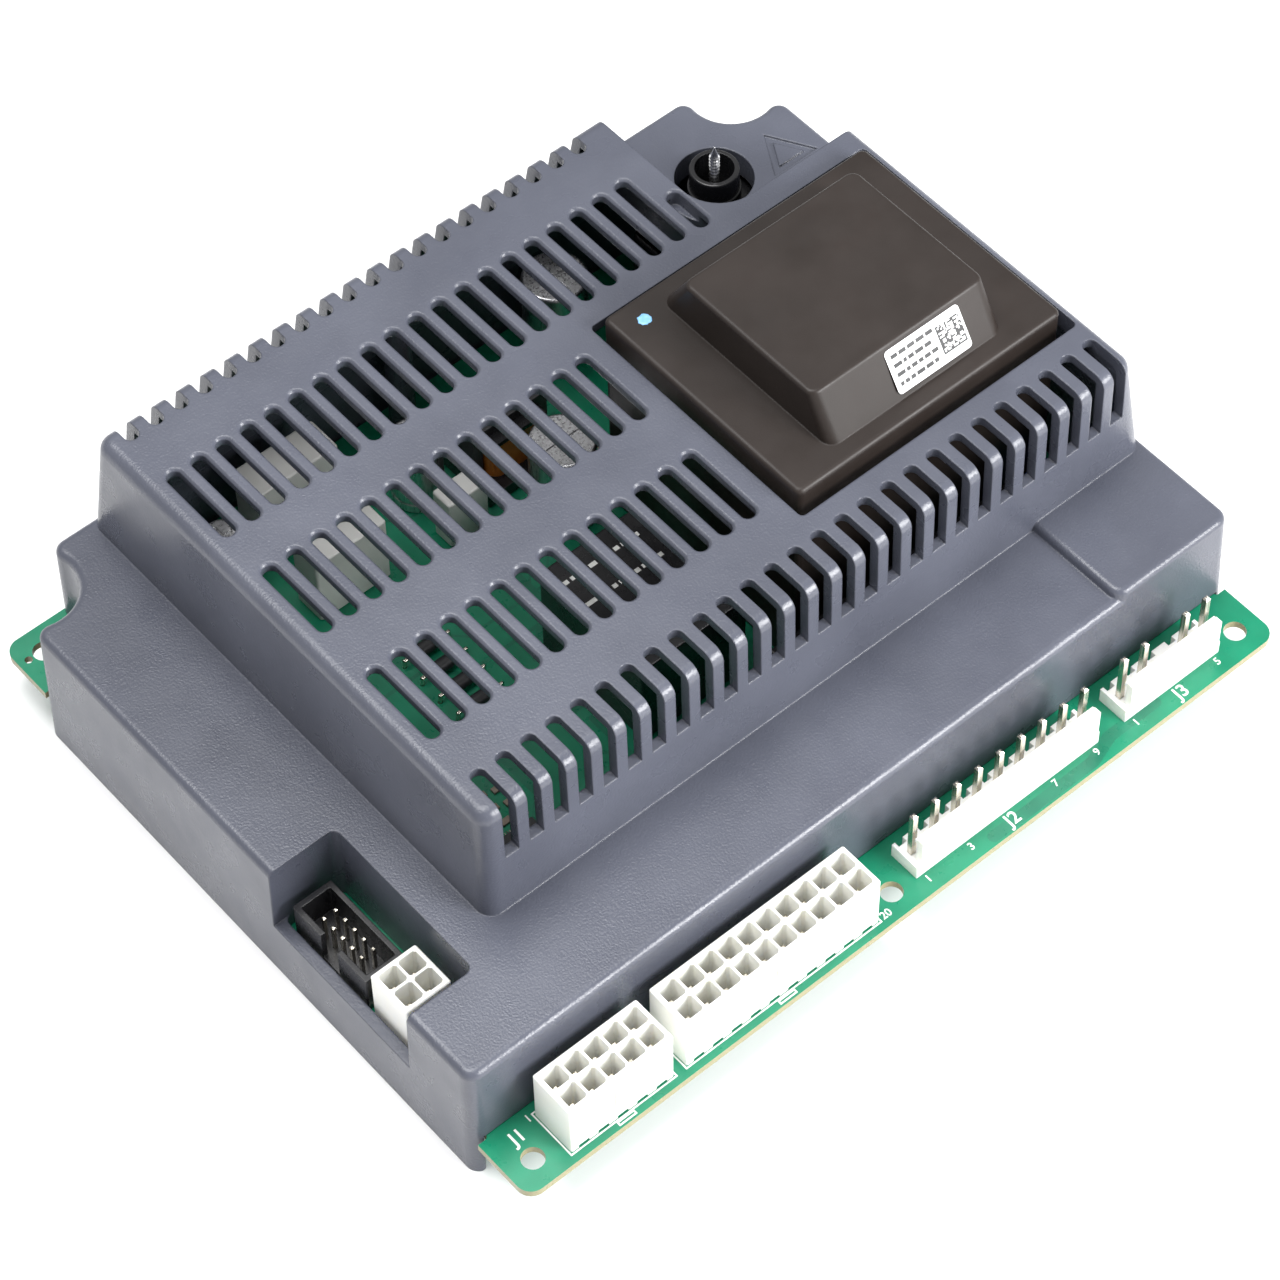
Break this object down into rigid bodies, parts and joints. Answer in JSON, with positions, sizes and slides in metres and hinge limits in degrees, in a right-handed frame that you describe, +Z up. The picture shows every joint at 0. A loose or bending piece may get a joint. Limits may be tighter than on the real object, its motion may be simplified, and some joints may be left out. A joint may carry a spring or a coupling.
{
  "type": "electronic control unit",
  "caption": "Boxed electronic control unit: vented stepped plastic cover over a circuit board with a potted transformer, plug headers along the front edge and an output stud.",
  "frame": {"origin": "centre of the rectangle of four corner screw holes, at the level of the cover's feet; the box centre is about 0.5 mm further back", "axes": "+X along the connector edge towards the short pin strip, +Y from the connector edge to the back, +Z up out of the vented top"},
  "size_m": [0.1744, 0.1475, 0.0692],
  "materials": {
    "cover_plastic": "fine moulded grain",
    "board_laminate": "green solder mask",
    "white_nylon": "satin nylon",
    "tin_plate": "tin plate",
    "black_plastic": "glossy",
    "case_plastic": "brown-black satin",
    "core_steel": "laminated",
    "copper": "enamelled wire",
    "resin": "cast resin",
    "zinc_steel": "bright zinc",
    "can_aluminium": "sleeved can",
    "cap_grey": "grey box",
    "tape_orange": "tape",
    "ferrite": "ferrite",
    "varistor_blue": "dipped lacquer",
    "fuse_glass": "clear",
    "chip_epoxy": "moulded epoxy",
    "chip_body": "ceramic"
  },
  "bodies": {
    "board_assembly": {"main_board": "board_laminate", "header_2x5_housing": "white_nylon", "header_2x5_pins": "tin_plate", "header_2x10_housing": "white_nylon", "header_2x10_pins": "tin_plate", "header_2x2_housing": "white_nylon", "header_2x2_pins": "tin_plate", "pin_strip_9_base": "white_nylon", "pin_strip_9_pins": "tin_plate", "pin_strip_5_base": "white_nylon", "pin_strip_5_pins": "tin_plate", "box_header_shroud": "black_plastic", "box_header_pins": "tin_plate", "transformer_case": "case_plastic", "transformer_core": "core_steel", "transformer_winding": "copper", "transformer_potting": "resin", "transformer_pins": "tin_plate", "ignition_module": "black_plastic", "ignition_pins": "tin_plate", "ignition_stud": "zinc_steel", "relay_bodies": "black_plastic", "relay_pins": "tin_plate", "electrolytic_cans": "can_aluminium", "electrolytic_leads": "tin_plate", "film_capacitors": "cap_grey", "film_capacitor_leads": "tin_plate", "supply_block": "black_plastic", "supply_block_pins": "tin_plate", "spool_bobbin": "black_plastic", "spool_pins": "tin_plate", "spool_winding": "tape_orange", "spool_core": "ferrite", "varistor_disc": "varistor_blue", "varistor_leads": "tin_plate", "fuse_tube": "fuse_glass", "fuse_caps": "tin_plate", "fuse_clips": "tin_plate", "controller_chip": "chip_epoxy", "controller_leads": "tin_plate", "optocouplers": "chip_epoxy", "optocoupler_leads": "tin_plate", "power_diodes": "chip_epoxy", "power_diode_leads": "tin_plate", "chip_parts": "chip_body"},
    "cover": {"top_cover": "cover_plastic"}
  },
  "joints": [
    {"name": "cover_lift", "type": "slide", "parent": "board_assembly", "child": "cover", "axis": [0, 0, 1], "range_m": [0, 0.07]}
  ]
}
